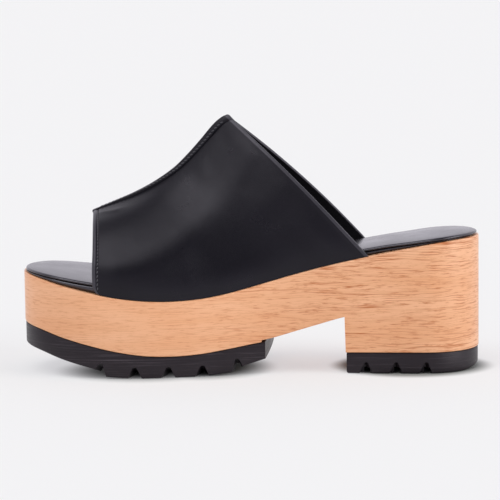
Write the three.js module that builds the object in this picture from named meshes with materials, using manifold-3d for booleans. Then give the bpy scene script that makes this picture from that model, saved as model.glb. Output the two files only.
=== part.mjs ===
// Open-toe platform clog for the right foot: a wood platform with a block heel, two rubber soles,
// a wrapped footbed board, a padded insole and one leather band with a seam along the instep.
// Millimetres, +Z up, ground at Z = 0. The toe points to -X and the inner side of the foot is at -Y.
import * as THREE from 'three';
import { mergeVertices } from 'three/addons/utils/BufferGeometryUtils.js';
import Module from 'manifold-3d';

const wasm = await Module();
wasm.setup();

// Sole plan
const soleLength = 254;
const ballWidth = 93;
const heelWidth = 62;
const toeSwing = 7; // toe tip towards the inner side

// Heights, from the ground up
const soleThickness = 11.5;
const liftThickness = 11.3;
const platformThickness = 30.3;
const heelRise = 31.8; // top edge at the back over the tread
const toeRise = 14; // top edge at the toe tip over the tread
const shoeHeight = 140.5; // ridge of the upper at the collar
const treadRoll = 2.1; // tread's rear end over the ground
const frontTreadRoll = 1.2; // tread's front end over the ground
const archRelief = 1; // arch surface over the forefoot sole's seat
const liftBevel = 2.4; // bottom of the heel lift at its back
const platformChamfer = 0.6;
const rubberChamfer = 1;
const rubberInset = 0.4;

// Lengths along the sole
const heelBlockLength = 73.1;
const breastLean = 1; // top of the heel breast ahead of its bottom
const frontSoleLength = 134.5;
const frontSoleBulge = 1.8; // rear edge of the forefoot sole bows towards the heel
const frontSoleSkew = 1.7; // outer end of that edge behind its inner end
const liftBevelLength = 11;
const flatTreadLength = 32; // part of the tread that rests on the ground

// Tread
const notchPitch = 18.3;
const notchCount = 5;
const lastNotchGap = 13.9; // rear edge of the forefoot sole to the last notch
const liftNotchPitch = 16.5;
const liftNotchCount = 3;
const liftNotchGap = 11.2; // heel breast to the first notch
const notchWidth = 7;
const notchHeight = 6.2;
const notchDepth = 10;
const endNotchHeight = 7.6;
const endNotchSlope = 5.4; // sloped side of the end notches, towards the end of the tread
const endNotchSteep = 2.6;
const notchTip = 0.2; // half width at the top, as a share of the half width at the tread
const notchShoulder = 0.93; // where the rounded top begins, as a share of the height
const notchCrown = 1.06; // where the two sides of the rounded top aim
const notchFlare = 1.15; // half width just under the tread
const notchTaper = 0.4; // size at the inner end, as a share of that at the side
const grooveWidth = 3.4;
const grooveDepth = 3;

// Footbed
const boardRise = 5.9; // board's top over the platform edge at the ball
const padThickness = 2.2;
const padRim = 1.8;
const padCrown = 0.2;
const endInset = 1.1; // board and pad behind the platform edge at toe and heel
const padLip = 1.2; // pad over the board's side at the heel
const padPlay = 1.2; // pad's side to the upper's inner wall
const padTurn = 0.3; // lower turn of the pad's side, as a share of its rim
const heelSpan = 0.35; // share of the way to the collar where the pad keeps to the heel's edge

// Upper
const upperWall = 2;
const upperInset = 0.3;
const toeArchHeight = 46.2; // ridge at the toe opening over the tread height
const toeEdgeLength = 210.2; // heel back to the toe opening's foot, inner side
const outerSetback = 4; // outer foot of the toe opening, towards the heel
const toePoint = 4.9; // ridge ahead of the toe opening's foot
const ridgeLength = 75.2;
const collarLength = 61.5; // heel back to the collar's foot
const collarBow = 2.9; // middle of the collar line behind a straight one
const cornerCut = 2; // front lower corner, drawn back
const cornerHeight = 0.1; // share of the opening's height that the cut corner takes
const cornerReach = 0.06; // share of the upper's length that it takes
const toeHoopPeak = 0.55; // power of the toe opening's arch, rounder than the collar's 1
const toeHoopLean = 1.2; // power of the way the toe opening leans to its ridge
const seamHalfWidth = 1.9;
const seamRaise = 0.5;
const seamTop = 0.85; // half width of the raised top, as a share of the seam's
const edgeRound = 0.35; // how far the rounded edges stand out, as a share of the wall

const clearance = 0.3;
const treadHeight = soleThickness + clearance + platformThickness;

// Shares of the named sizes, at shares of the sole's length from the back of the heel
const outlineTable = [
  { at: 0, spread: 0, swing: 0 },
  { at: 0.12, spread: 0, swing: 0 },
  { at: 0.25, spread: 0, swing: -0.08 },
  { at: 0.35, spread: 0.04, swing: -0.24 },
  { at: 0.45, spread: 0.2, swing: -0.4 },
  { at: 0.55, spread: 0.56, swing: -0.36 },
  { at: 0.62, spread: 0.83, swing: -0.2 },
  { at: 0.7, spread: 1, swing: 0.04 },
  { at: 0.78, spread: 1, swing: 0.33 },
  { at: 0.86, spread: 1, swing: 0.6 },
  { at: 0.93, spread: 1, swing: 0.82 },
  { at: 1, spread: 1, swing: 1 },
];
const profileTable = [
  { at: 0, heel: 1, toe: 0, thickness: 1.02, board: 0.16, sole: 0.79 },
  { at: 0.05, heel: 0.975, toe: 0, thickness: 1.02, board: 0.17, sole: 0.79 },
  { at: 0.1, heel: 0.925, toe: 0, thickness: 1.02, board: 0.22, sole: 0.79 },
  { at: 0.15, heel: 0.85, toe: 0, thickness: 1.025, board: 0.32, sole: 0.79 },
  { at: 0.2, heel: 0.775, toe: 0, thickness: 1.03, board: 0.42, sole: 0.79 },
  { at: 0.25, heel: 0.695, toe: 0, thickness: 1.035, board: 0.48, sole: 0.79 },
  { at: 0.3, heel: 0.607, toe: 0, thickness: 1.043, board: 0.56, sole: 0.79 },
  { at: 0.35, heel: 0.51, toe: 0, thickness: 1.063, board: 0.66, sole: 0.79 },
  { at: 0.4, heel: 0.405, toe: 0, thickness: 1.076, board: 0.76, sole: 0.79 },
  { at: 0.45, heel: 0.293, toe: 0, thickness: 1.076, board: 0.87, sole: 0.79 },
  { at: 0.5, heel: 0.185, toe: 0, thickness: 1.04, board: 0.95, sole: 0.92 },
  { at: 0.55, heel: 0.09, toe: 0, thickness: 1.012, board: 0.99, sole: 1 },
  { at: 0.6, heel: 0.027, toe: 0, thickness: 1.003, board: 1, sole: 1 },
  { at: 0.66, heel: 0, toe: 0, thickness: 1, board: 1, sole: 1 },
  { at: 0.72, heel: 0, toe: 0.035, thickness: 0.995, board: 0.97, sole: 1.02 },
  { at: 0.78, heel: 0, toe: 0.16, thickness: 0.978, board: 0.84, sole: 1.04 },
  { at: 0.84, heel: 0, toe: 0.36, thickness: 0.957, board: 0.68, sole: 1.045 },
  { at: 0.9, heel: 0, toe: 0.6, thickness: 0.938, board: 0.5, sole: 1.045 },
  { at: 0.95, heel: 0, toe: 0.82, thickness: 0.922, board: 0.3, sole: 1.03 },
  { at: 1, heel: 0, toe: 1, thickness: 0.93, board: 0.12, sole: 1.02 },
];
// Ridge of the upper, from the toe opening to the collar, as a share of its rise
const ridgeTable = [
  { at: 0, rise: 0 },
  { at: 0.15, rise: 0.087 },
  { at: 0.3, rise: 0.178 },
  { at: 0.45, rise: 0.29 },
  { at: 0.6, rise: 0.437 },
  { at: 0.7, rise: 0.574 },
  { at: 0.8, rise: 0.732 },
  { at: 0.9, rise: 0.9 },
  { at: 0.96, rise: 0.973 },
  { at: 1, rise: 1 },
];

const { cos, sin, sqrt, max, min, abs, PI } = Math;
const lerp = THREE.MathUtils.lerp;
const clamp = THREE.MathUtils.clamp;
const smoothstep = THREE.MathUtils.smoothstep;

// Smooth curve through one column of a table
function column(table, name) {
  const last = table.length - 1;
  const slope = (i) => {
    const [a, b] = [table[max(i - 1, 0)], table[min(i + 1, last)]];
    return (b[name] - a[name]) / (b.at - a.at);
  };
  return (at) => {
    let i = 0;
    while (i < last - 1 && at > table[i + 1].at) i += 1;
    const [a, b] = [table[i], table[i + 1]];
    const gap = b.at - a.at;
    const t = clamp((at - a.at) / gap, 0, 1);
    const ease = t * t * (3 - 2 * t);
    const bend = (slope(i) * (1 - t) - slope(i + 1) * t) * t * (1 - t) * gap;
    return a[name] + (b[name] - a[name]) * ease + bend;
  };
}

// Sole outline
const spread = column(outlineTable, 'spread');
const swing = column(outlineTable, 'swing');
const heelCap = 0.12; // share of the length that the round of the heel takes
const toeCap = 0.3;
const toeRound = [2.6, 0.476]; // powers of the toe's round, squarer than a circle
const treadCurve = 1.6;
const shareAt = (x) => clamp(0.5 - x / soleLength, 0, 1);
const xAt = (share) => soleLength * (0.5 - share);

function halfWidth(share) {
  const body = lerp(heelWidth, ballWidth, spread(share)) / 2;
  const back = sqrt(1 - max(0, 1 - share / heelCap) ** 2);
  const front = max(0, 1 - max(0, (share - 1 + toeCap) / toeCap) ** toeRound[0]) ** toeRound[1];
  return body * back * front;
}

// A point of the outline: side -1 is the inner side of the foot, 1 the outer side
function outlinePoint(share, side, inset = 0) {
  const at = (s) => new THREE.Vector2(xAt(s), side * halfWidth(s) - toeSwing * swing(s));
  const point = at(share);
  if (inset === 0) return point;
  const step = 0.0004;
  const along = at(min(share + step, 1)).sub(at(max(share - step, 0))).normalize();
  if (share <= 0) along.set(0, side);
  if (share >= 1) along.set(0, -side);
  return point.add(new THREE.Vector2(-along.y, along.x).multiplyScalar(side * inset));
}

// Heights of the platform, as functions of the share along the sole
const heelShare = column(profileTable, 'heel');
const toeShare = column(profileTable, 'toe');
const thicknessShare = column(profileTable, 'thickness');
const boardShare = column(profileTable, 'board');
const soleShare = column(profileTable, 'sole');
const archStart = heelBlockLength / soleLength;
const archEnd = (soleLength - frontSoleLength) / soleLength;
const archStep = 0.2;
const heelBase = liftThickness + clearance;

const platformTop = (share) => treadHeight + heelRise * heelShare(share) + toeRise * toeShare(share);
const soleSeat = (share) => platformTop(share) - platformThickness * thicknessShare(share);
const boardBottom = (share) => platformTop(share) + clearance;
const boardTop = (share) => platformTop(share) + boardRise * boardShare(share);

// The station says on which side of a step the point lies
function platformBottom(share, station) {
  if (station < archStart + breastLean / 2 / soleLength) return heelBase;
  return soleSeat(share) + (station < archEnd + archStep / 2 / soleLength ? archRelief : 0);
}

// Notch places along X, from the heel towards the toe
const rearEdge = xAt(archEnd);
const breast = xAt(archStart);
const row = (count, start, pitch) => Array.from({ length: count }, (_, i) => start + i * pitch);
const notchPlaces = row(notchCount, rearEdge - lastNotchGap, -notchPitch);
const liftNotchPlaces = row(liftNotchCount, breast + liftNotchGap, liftNotchPitch);

// The tread lies flat between the end notches. Past them the sole keeps its thickness.
function soleBottom(share) {
  const x = xAt(share);
  const [rear, front] = [notchPlaces[0], notchPlaces[notchCount - 1]];
  const reach = notchWidth / 2;
  const curl = max(smoothstep(x, rear, rear + reach), smoothstep(-x, -front, reach - front));
  const centre = (rear + front) / 2;
  const flatHalf = flatTreadLength / 2;
  const roll = max(0, abs(x - centre) - flatHalf) / ((rear - front) / 2 - flatHalf);
  const tread = (x > centre ? treadRoll : frontTreadRoll) * min(roll, 1) ** treadCurve;
  const curled = soleSeat(share) - clearance - soleThickness * soleShare(share);
  return lerp(tread, max(curled, tread), curl);
}

const liftBottom = (share) => liftBevel * max(0, 1 - (share * soleLength) / liftBevelLength) ** 2;

// Collects the triangles of one closed body
class Body {
  constructor() {
    this.points = [];
  }

  quad(a, b, c, d) {
    this.triangle(a, b, c);
    this.triangle(a, c, d);
  }

  triangle(a, b, c) {
    if (a.distanceTo(b) < 1e-6 || b.distanceTo(c) < 1e-6 || c.distanceTo(a) < 1e-6) return;
    this.points.push(a.x, a.y, a.z, b.x, b.y, b.z, c.x, c.y, c.z);
  }

  // Wall between two rows of points
  strip(low, high) {
    for (let i = 0; i < low.length - 1; i += 1) this.quad(low[i], low[i + 1], high[i + 1], high[i]);
  }

  geometry() {
    const soup = new THREE.BufferGeometry();
    soup.setAttribute('position', new THREE.Float32BufferAttribute(this.points, 3));
    return soup;
  }
}

// Shares along the sole, closer together at both rounded ends, with a pair of stations at each break
function stations(count, breaks = []) {
  const even = Array.from({ length: count + 1 }, (_, i) => (1 - cos((PI * i) / count)) / 2);
  const pairs = breaks.flatMap(({ share, width }) => [share - 1e-5, share + width / soleLength]);
  const kept = even.filter((s) => pairs.every((p) => abs(s - p) > 0.004));
  return [...kept, ...pairs].sort((a, b) => a - b);
}

// One closed loop round the sole: along the inner side to the toe and back along the outer side
function loop(shares, inset, height) {
  const insetAt = typeof inset === 'function' ? inset : () => inset;
  const point = (share, side) => {
    const plan = outlinePoint(share, side, insetAt(share));
    return new THREE.Vector3(plan.x, plan.y, height(shareAt(plan.x), share));
  };
  const inner = shares.map((share) => point(share, -1));
  const outer = shares.slice(1, -1).map((share) => point(share, 1)).reverse();
  return [...inner, ...outer, inner[0]];
}

// Closes a loop with rows across the sole. The rise lifts the middle of each row.
function cover(body, ring, count, across, rise, up) {
  const rows = [];
  for (let i = 0; i < count; i += 1) {
    const a = ring[i];
    const b = i === 0 || i === count - 1 ? ring[i] : ring[2 * count - 2 - i];
    const row = Array.from({ length: across + 1 }, (_, k) => {
      const point = a.clone().lerp(b, k / across);
      if (k > 0 && k < across) point.z += rise(k / across, a.distanceTo(b));
      return point;
    });
    rows.push(row);
  }
  for (let i = 0; i < count - 1; i += 1) {
    if (up) body.strip(rows[i], rows[i + 1]);
    else body.strip(rows[i + 1], rows[i]);
  }
}

// A closed slab on the sole's outline, made of loops from the lowest to the highest
function slab(shares, loops, across = 1, rise = () => 0) {
  const body = new Body();
  const rings = loops.map(({ inset, height }) => loop(shares, inset, height));
  cover(body, rings[0], shares.length, 1, () => 0, false);
  for (let i = 0; i < rings.length - 1; i += 1) body.strip(rings[i + 1], rings[i]);
  cover(body, rings[rings.length - 1], shares.length, across, rise, true);
  return body.geometry();
}

function chamferedSlab(shares, inset, bottom, top, low, high) {
  return slab(shares, [
    { inset: inset + low, height: bottom },
    { inset, height: (share, station) => bottom(share, station) + low },
    { inset, height: (share) => top(share) - high },
    { inset: inset + high, height: top },
  ]);
}

function toSolid(geometry) {
  const bare = geometry.index ? geometry.toNonIndexed() : geometry.clone();
  for (const name of Object.keys(bare.attributes)) {
    if (name !== 'position') bare.deleteAttribute(name);
  }
  const merged = mergeVertices(bare, 1e-4);
  return new wasm.Manifold(new wasm.Mesh({
    numProp: 3,
    vertProperties: new Float32Array(merged.attributes.position.array),
    triVerts: new Uint32Array(merged.index.array),
  }));
}

function toGeometry(solid) {
  const mesh = solid.getMesh();
  const geometry = new THREE.BufferGeometry();
  geometry.setAttribute('position', new THREE.BufferAttribute(new Float32Array(mesh.vertProperties), 3));
  geometry.setIndex(new THREE.BufferAttribute(new Uint32Array(mesh.triVerts), 1));
  return geometry;
}

// Platform and heel block, in one piece
function platform() {
  const breaks = [
    { share: archStart, width: breastLean },
    { share: archEnd, width: archStep },
  ];
  const shares = stations(56, breaks);
  return chamferedSlab(shares, 0, platformBottom, platformTop, platformChamfer, platformChamfer);
}

// Region of the plan that a sole keeps: everything on one side of its front or rear edge
function planBlock(edge, towards, bulge = 0, skew = 0) {
  const reach = soleLength;
  const side = ballWidth;
  const shape = new THREE.Shape();
  shape.moveTo(edge, -side / 2);
  shape.quadraticCurveTo(edge + 2 * bulge + skew / 2, 0, edge + skew, side / 2);
  shape.lineTo(edge + towards * reach, side / 2);
  shape.lineTo(edge + towards * reach, -side / 2);
  shape.closePath();
  const depth = treadHeight + toeRise + heelRise;
  return toSolid(new THREE.ExtrudeGeometry(shape, { depth, bevelEnabled: false, curveSegments: 8 })
    .scale(1, 1.2, 1).translate(0, 0, -depth / 4));
}

// A side notch: a wedge with a rounded top, which shrinks towards the middle of the sole
function notchCutter(x, side, bottom, { height, toeHalf, heelHalf }) {
  const mirror = -side;
  const shape = new THREE.Shape();
  const shoulder = height * notchShoulder;
  shape.moveTo(mirror * toeHalf * notchFlare, -1);
  shape.lineTo(mirror * toeHalf * notchTip, shoulder);
  shape.quadraticCurveTo(0, height * notchCrown, -mirror * heelHalf * notchTip, shoulder);
  shape.lineTo(-mirror * heelHalf * notchFlare, -1);
  shape.closePath();
  const edge = abs(outlinePoint(shareAt(x), side).y) + 1;
  const depth = notchDepth + 1;
  const wedge = new THREE.ExtrudeGeometry(shape, { depth, bevelEnabled: false, curveSegments: 4 });
  const position = wedge.attributes.position;
  for (let i = 0; i < position.count; i += 1) {
    const shrink = lerp(1, notchTaper, position.getZ(i) / depth);
    position.setXY(i, position.getX(i) * shrink, position.getY(i) * shrink);
  }
  wedge.rotateX(PI / 2);
  if (side < 0) wedge.rotateZ(PI);
  return toSolid(wedge.translate(x, side * edge, bottom));
}

function grooveCutter(x, bottom) {
  const groove = new THREE.BoxGeometry(grooveWidth, ballWidth * 1.2, 2 * grooveDepth);
  return toSolid(groove.translate(x, 0, bottom));
}

const notch = { height: notchHeight, toeHalf: notchWidth / 2, heelHalf: notchWidth / 2 };
const toeNotch = { height: endNotchHeight, toeHalf: endNotchSlope, heelHalf: endNotchSteep };
const rearNotch = { height: endNotchHeight, toeHalf: endNotchSteep, heelHalf: endNotchSlope };

function cutTread(solid, places, bottomAt, shapes) {
  let cut = solid;
  for (const [index, x] of places.entries()) {
    const bottom = bottomAt(shareAt(x));
    cut = cut.subtract(grooveCutter(x, bottom));
    for (const side of [-1, 1]) cut = cut.subtract(notchCutter(x, side, bottom, shapes[index]));
  }
  return toGeometry(cut);
}

function rubberSlab(bottom, top) {
  return chamferedSlab(stations(60), rubberInset, bottom, top, rubberChamfer, platformChamfer / 2);
}

function forefootSole() {
  const top = (share) => soleSeat(share) - clearance;
  const full = rubberSlab(soleBottom, top);
  const solid = toSolid(full).intersect(planBlock(rearEdge, -1, frontSoleBulge, frontSoleSkew));
  const middle = Array(notchCount - 2).fill(notch);
  return cutTread(solid, notchPlaces, soleBottom, [rearNotch, ...middle, toeNotch]);
}

function heelLift() {
  const top = () => liftThickness;
  const full = rubberSlab(liftBottom, top);
  const solid = toSolid(full).intersect(planBlock(breast, 1));
  return cutTread(solid, liftNotchPlaces, liftBottom, Array(liftNotchCount).fill(notch));
}

// Board and pad stand back from the platform edge: inside the upper's wall under the band, and near
// the edge at toe and heel
const wallInset = upperInset + upperWall + padPlay;
const toeEdgeShare = toeEdgeLength / soleLength;
const collarShare = collarLength / soleLength;

function padInset(share) {
  const atToe = smoothstep(share, toeEdgeShare, 1);
  const atHeel = 1 - smoothstep(share, collarShare * heelSpan, collarShare);
  return lerp(wallInset, endInset, max(atToe, atHeel));
}

function boardInset(share) {
  return padInset(share) + padLip * (1 - smoothstep(share, collarShare, toeEdgeShare));
}

function footbedBoard() {
  return slab(stations(44), [
    { inset: boardInset, height: boardBottom },
    { inset: boardInset, height: (share) => boardTop(share) - clearance },
  ]);
}

function insolePad() {
  const soft = padRim * padTurn;
  const rim = (angle) => ({
    inset: (share) => padInset(share) + padRim * (1 - cos(angle)),
    height: (share) => boardTop(share) + padThickness - padRim + padRim * sin(angle),
  });
  const crown = (k, width) => padCrown * 4 * k * (1 - k) * min(1, width / heelWidth);
  return slab(stations(44), [
    { inset: (share) => padInset(share) + soft, height: boardTop },
    { inset: padInset, height: (share) => boardTop(share) + soft },
    rim(0),
    rim(PI / 6),
    rim(PI / 3),
    rim(PI / 2),
  ], 10, crown);
}

// Upper: hoops that fan out from the toe opening to the collar. Each hoop runs from the inner foot
// over the ridge to the outer foot. hoop is 0 at the toe opening and 1 at the collar.
const ridgeRise = column(ridgeTable, 'rise');
const ridgeStart = xAt(toeEdgeShare) - toePoint;

function hoopFrame(hoop, side) {
  const setback = side > 0 ? outerSetback * (1 - hoop) ** 2 : 0;
  const footShare = lerp(toeEdgeShare, collarShare, hoop) - setback / soleLength;
  const foot = outlinePoint(footShare, side, upperInset);
  return {
    foot: new THREE.Vector3(foot.x, foot.y, platformTop(shareAt(foot.x)) + clearance),
    ridge: new THREE.Vector3(
      ridgeStart + ridgeLength * hoop,
      -toeSwing * swing(shareAt(ridgeStart + ridgeLength * hoop)),
      lerp(treadHeight + toeArchHeight, shoeHeight, ridgeRise(hoop)),
    ),
    peak: lerp(toeHoopPeak, 1, hoop),
  };
}

// turn is 0 at the foot of the hoop and PI / 2 on the ridge
function upperPoint(hoop, turn, side) {
  const { foot, ridge, peak } = hoopFrame(hoop, side);
  const width = max(cos(turn), 0) ** (2 * peak);
  const height = sin(turn);
  const bow = (collarBow / (foot.x - ridge.x)) * sin(PI * height);
  const along = lerp((1 - width) ** toeHoopLean, height - bow * hoop, hoop);
  const cut = max(0, 1 - height / cornerHeight) ** 2 * max(0, 1 - hoop / cornerReach);
  return new THREE.Vector3(
    lerp(foot.x, ridge.x, along) + cornerCut * cut,
    lerp(ridge.y, foot.y, width),
    lerp(foot.z, ridge.z, height),
  );
}

// Turn at a given distance from the ridge's middle line
function turnAt(hoop, side, distance) {
  const { foot, ridge, peak } = hoopFrame(hoop, side);
  return Math.acos((distance / abs(foot.y - ridge.y)) ** (1 / (2 * peak)));
}

function upperNormal(hoop, turn, side) {
  const step = 0.004;
  const [h0, h1] = [max(hoop - step, 0), min(hoop + step, 1)];
  const [t0, t1] = [max(turn - step, 0.0005), min(turn + step, PI / 2 - 0.0005)];
  const length = upperPoint(h1, turn, side).sub(upperPoint(h0, turn, side));
  const girth = upperPoint(hoop, t1, side).sub(upperPoint(hoop, t0, side));
  return length.cross(girth).multiplyScalar(-side).normalize();
}

// One hoop of the wall: rows of outer and inner points from the inner foot to the outer foot
function wallHoop(hoop, columns) {
  const outer = [];
  const inner = [];
  for (const side of [-1, 1]) {
    const seamTurn = turnAt(hoop, side, seamHalfWidth);
    const outerSide = [];
    const innerSide = [];
    for (let i = 0; i <= columns; i += 1) {
      const turn = (seamTurn * i) / columns;
      const normal = upperNormal(hoop, max(turn, 0.02), side);
      if (i === 0) normal.setZ(0).normalize();
      const point = upperPoint(hoop, turn, side);
      const within = point.clone().addScaledVector(normal, -upperWall);
      if (i === 0) within.z = platformTop(shareAt(within.x)) + clearance;
      outerSide.push(point);
      innerSide.push(within);
    }
    const seamNormal = upperNormal(hoop, seamTurn, side);
    const lip = upperPoint(hoop, turnAt(hoop, side, seamHalfWidth * seamTop), side);
    outerSide.push(lip.addScaledVector(seamNormal, seamRaise));
    innerSide.push(innerSide[columns].clone());
    if (side < 0) {
      const ridge = upperPoint(hoop, PI / 2, side);
      const upward = seamNormal.clone().setY(0).normalize();
      const drop = upperWall / upward.dot(seamNormal);
      outerSide.push(ridge.clone().addScaledVector(upward, seamRaise));
      innerSide.push(ridge.clone().addScaledVector(upward, -drop));
      innerSide[columns + 1].lerp(innerSide[columns + 2], 0.5);
      outer.push(...outerSide);
      inner.push(...innerSide);
    } else {
      innerSide[columns + 1].lerp(inner[inner.length - 1], 0.5);
      outer.push(...outerSide.reverse());
      inner.push(...innerSide.reverse());
    }
  }
  return { outer, inner };
}

function upper() {
  const hoopCount = 26;
  const columns = 11;
  const hoops = Array.from({ length: hoopCount + 1 }, (_, i) => wallHoop(i / hoopCount, columns));
  const body = new Body();
  for (let i = 0; i < hoopCount; i += 1) {
    const [a, b] = [hoops[i], hoops[i + 1]];
    const last = a.outer.length - 1;
    body.strip(b.outer, a.outer);
    body.strip(a.inner, b.inner);
    body.quad(a.outer[0], a.inner[0], b.inner[0], b.outer[0]);
    body.quad(a.inner[last], a.outer[last], b.outer[last], b.inner[last]);
  }
  const toe = hoops[0];
  const collar = hoops[hoopCount];
  for (const [edge, next, flip] of [[toe, hoops[1], false], [collar, hoops[hoopCount - 1], true]]) {
    const nose = edge.outer.map((point, i) => {
      if (i === 0 || i === edge.outer.length - 1) return edge.inner[i];
      const outward = point.clone().sub(next.outer[i]).setLength(upperWall * edgeRound);
      return point.clone().lerp(edge.inner[i], 0.5).add(outward);
    });
    const rows = flip ? [edge.inner, nose, edge.outer] : [edge.outer, nose, edge.inner];
    body.strip(rows[0], rows[1]);
    body.strip(rows[1], rows[2]);
  }
  return body.geometry();
}

function piece(name, geometry, color, roughness) {
  const bare = geometry.index ? geometry : mergeVertices(geometry, 1e-4);
  bare.computeVertexNormals();
  const mesh = new THREE.Mesh(bare, new THREE.MeshStandardMaterial({ color, roughness, metalness: 0 }));
  mesh.name = name;
  return mesh;
}

const clog = new THREE.Group();
clog.add(
  piece('forefoot_outsole', forefootSole(), 0x2b2a2d, 0.7),
  piece('heel_lift', heelLift(), 0x2b2a2d, 0.7),
  piece('platform_midsole', platform(), 0xdba678, 0.5),
  piece('footbed_board', footbedBoard(), 0x2c2b30, 0.5),
  piece('insole', insolePad(), 0x3a393f, 0.45),
  piece('upper', upper(), 0x232328, 0.4),
);

// The origin is under the middle of the whole shoe
const extent = new THREE.Box3().setFromObject(clog);
clog.position.set(-(extent.min.x + extent.max.x) / 2, -(extent.min.y + extent.max.y) / 2, -extent.min.z);
clog.updateMatrixWorld(true);

export default clog;
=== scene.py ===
import math

import bmesh
import bpy
import numpy as np
from mathutils import Matrix, Vector


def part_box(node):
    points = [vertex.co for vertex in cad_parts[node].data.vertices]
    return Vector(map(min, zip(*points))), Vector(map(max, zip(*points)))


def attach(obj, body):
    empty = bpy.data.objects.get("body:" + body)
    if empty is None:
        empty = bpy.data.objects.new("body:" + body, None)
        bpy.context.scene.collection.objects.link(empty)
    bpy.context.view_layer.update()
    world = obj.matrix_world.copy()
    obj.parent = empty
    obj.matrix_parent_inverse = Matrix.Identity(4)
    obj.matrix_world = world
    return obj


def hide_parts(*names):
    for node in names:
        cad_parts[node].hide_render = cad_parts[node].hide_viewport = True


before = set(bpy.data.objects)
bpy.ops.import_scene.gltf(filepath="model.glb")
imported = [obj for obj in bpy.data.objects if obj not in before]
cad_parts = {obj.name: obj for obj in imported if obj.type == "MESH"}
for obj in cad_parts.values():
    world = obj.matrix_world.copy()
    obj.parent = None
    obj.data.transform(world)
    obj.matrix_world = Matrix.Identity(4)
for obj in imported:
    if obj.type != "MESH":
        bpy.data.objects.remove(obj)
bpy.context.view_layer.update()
print("frame loaded:", ", ".join(sorted(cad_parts)))

mm = 0.001

# Shape of the sole, in millimetres. The tables hold shares of these sizes along its length,
# from the back of the heel to the toe tip.
sole = {
    "length": 254.0,
    "ballWidth": 93.0,
    "heelWidth": 62.0,
    "toeSwing": 7.0,
    "heelCap": 0.12,
    "toeCap": 0.3,
    "toeRound": (2.6, 0.476),
    "clearance": 0.3,
    "outline": (
        # at, spread, swing
        (0, 0, 0),
        (0.12, 0, 0),
        (0.25, 0, -0.08),
        (0.35, 0.04, -0.24),
        (0.45, 0.2, -0.4),
        (0.55, 0.56, -0.36),
        (0.62, 0.83, -0.2),
        (0.7, 1, 0.04),
        (0.78, 1, 0.33),
        (0.86, 1, 0.6),
        (0.93, 1, 0.82),
        (1, 1, 1),
    ),
    "profile": (
        # at, heel, toe, thickness, board, sole
        (0, 1, 0, 1.02, 0.16, 0.79),
        (0.05, 0.975, 0, 1.02, 0.17, 0.79),
        (0.1, 0.925, 0, 1.02, 0.22, 0.79),
        (0.15, 0.85, 0, 1.025, 0.32, 0.79),
        (0.2, 0.775, 0, 1.03, 0.42, 0.79),
        (0.25, 0.695, 0, 1.035, 0.48, 0.79),
        (0.3, 0.607, 0, 1.043, 0.56, 0.79),
        (0.35, 0.51, 0, 1.063, 0.66, 0.79),
        (0.4, 0.405, 0, 1.076, 0.76, 0.79),
        (0.45, 0.293, 0, 1.076, 0.87, 0.79),
        (0.5, 0.185, 0, 1.04, 0.95, 0.92),
        (0.55, 0.09, 0, 1.012, 0.99, 1),
        (0.6, 0.027, 0, 1.003, 1, 1),
        (0.66, 0, 0, 1, 1, 1),
        (0.72, 0, 0.035, 0.995, 0.97, 1.02),
        (0.78, 0, 0.16, 0.978, 0.84, 1.04),
        (0.84, 0, 0.36, 0.957, 0.68, 1.045),
        (0.9, 0, 0.6, 0.938, 0.5, 1.045),
        (0.95, 0, 0.82, 0.922, 0.3, 1.03),
        (1, 0, 1, 0.93, 0.12, 1.02),
    ),
}


def column(table, index):
    # smooth curve through one column of a table
    at = np.array([row[0] for row in table], float)
    value = np.array([row[index] for row in table], float)
    here = np.arange(len(at))
    before, after = np.maximum(here - 1, 0), np.minimum(here + 1, len(at) - 1)
    slope = (value[after] - value[before]) / (at[after] - at[before])

    def curve(share):
        share = np.asarray(share, float)
        i = np.clip(np.searchsorted(at, share) - 1, 0, len(at) - 2)
        gap = at[i + 1] - at[i]
        t = np.clip((share - at[i]) / gap, 0, 1)
        bend = (slope[i] * (1 - t) - slope[i + 1] * t) * t * (1 - t) * gap
        return value[i] + (value[i + 1] - value[i]) * t * t * (3 - 2 * t) + bend

    return curve


def mix(a, b, t):
    return a + (b - a) * t


def ease(x, low, high):
    t = np.clip((x - low) / (high - low), 0, 1)
    return t * t * (3 - 2 * t)


def bell(x, centre, width):
    return np.exp(-(((x - centre) / width) ** 2))


spread, swing = (column(sole["outline"], i) for i in (1, 2))
heelShare, toeShare, thicknessShare, boardShare, soleShare = (
    column(sole["profile"], i) for i in range(1, 6)
)


def shareAt(x):
    return np.clip(0.5 - x / sole["length"], 0, 1)


def xAt(share):
    return sole["length"] * (0.5 - np.asarray(share, float))


def halfWidth(share):
    body = mix(sole["heelWidth"], sole["ballWidth"], spread(share)) / 2
    back = np.sqrt(1 - np.clip(1 - share / sole["heelCap"], 0, 1) ** 2)
    reach = np.clip((share - 1 + sole["toeCap"]) / sole["toeCap"], 0, 1)
    power, root = sole["toeRound"]
    return body * back * np.clip(1 - reach**power, 0, 1) ** root


def outline(share, side, inset=0.0):
    # side -1 is the inner side of the foot, 1 the outer side
    def place(s):
        return np.stack([xAt(s), side * halfWidth(s) - sole["toeSwing"] * swing(s)], -1)

    share = np.asarray(share, float)
    step = 0.0004
    along = place(np.minimum(share + step, 1)) - place(np.maximum(share - step, 0))
    along /= np.linalg.norm(along, axis=-1, keepdims=True)
    normal = np.stack([-along[..., 1], along[..., 0]], -1)
    return place(share) + normal * (side * inset)


# The middle of the part's box lies a little to one side of the sole's own middle line
reach = np.linspace(0, 1, 4001)
ownMiddle = (outline(reach, -1)[:, 1].min() + outline(reach, 1)[:, 1].max()) / 2
boxLow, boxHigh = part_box("platform_midsole")
sideShift = (boxLow.y + boxHigh.y) / 2 / mm - ownMiddle
print(f"side shift {sideShift:.3f} mm")


def toRow(points):
    points = np.asarray(points, float).reshape(-1, 3)
    return (points + np.array([0, sideShift, 0])) * mm


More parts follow.
